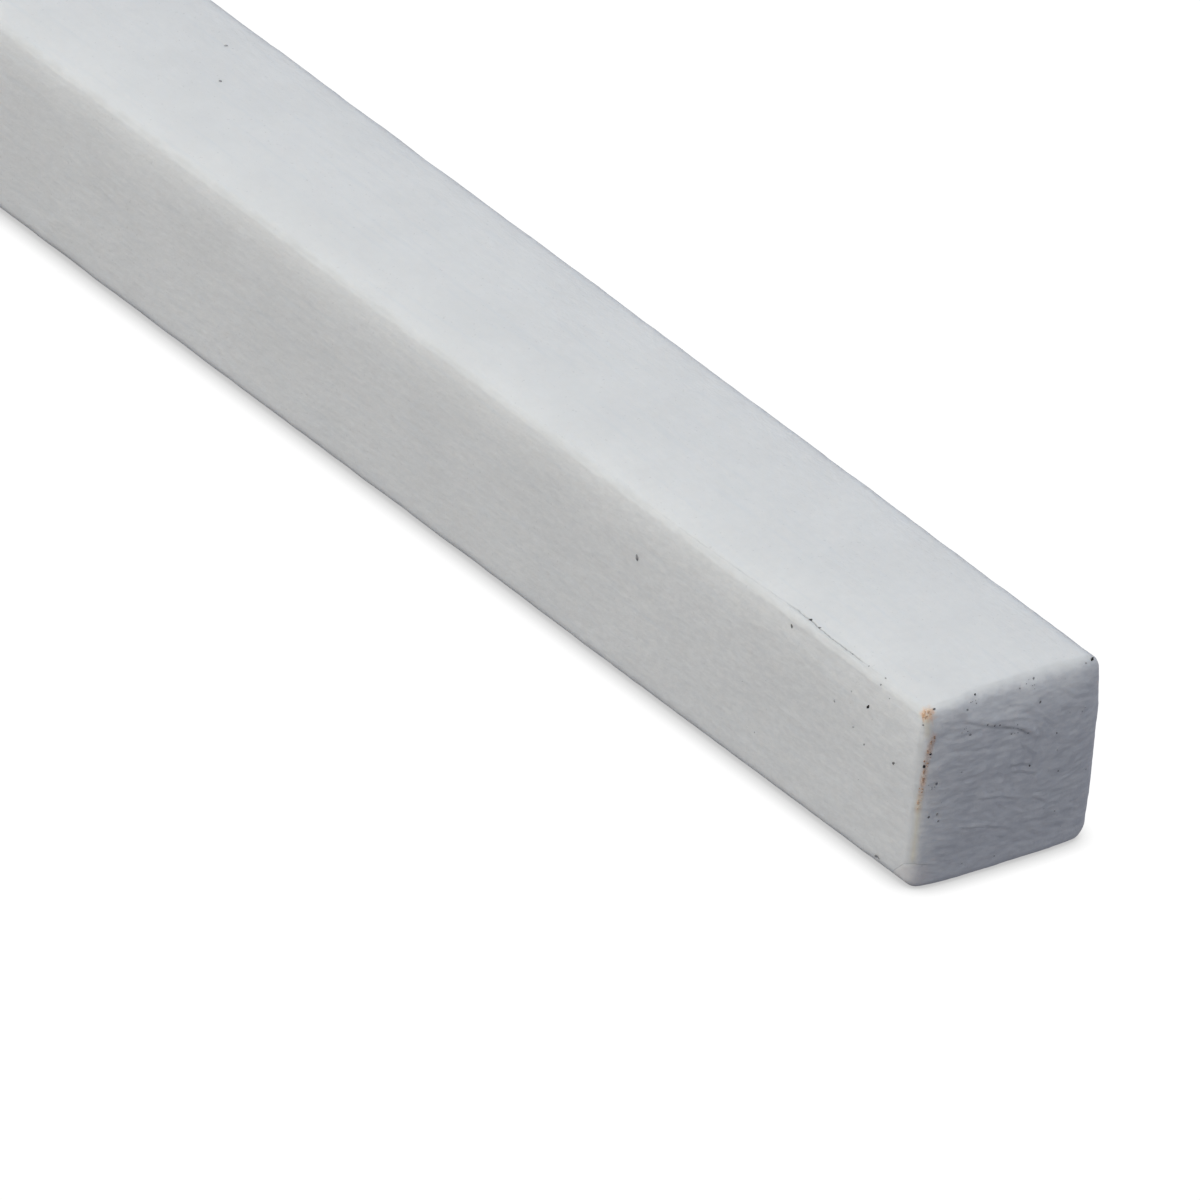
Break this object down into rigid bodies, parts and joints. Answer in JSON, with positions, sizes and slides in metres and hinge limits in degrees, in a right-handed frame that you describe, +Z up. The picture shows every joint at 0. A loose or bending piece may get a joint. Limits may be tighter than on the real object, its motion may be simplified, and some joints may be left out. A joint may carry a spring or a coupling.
{
  "type": "charcoal stick",
  "caption": "Square white pressed-charcoal drawing stick with softly rounded long edges and cut ends, for drawing highlights by hand or in a stick holder.",
  "frame": {"origin": "middle of the underside, on the surface that the stick lies on", "axes": "+X along the stick towards its drawing end, +Z up, square to the long face that it lies on"},
  "size_m": [0.0762, 0.0064, 0.0063],
  "materials": {
    "white_charcoal": "matte"
  },
  "bodies": {
    "root": {"stick": "white_charcoal"}
  },
  "joints": []
}
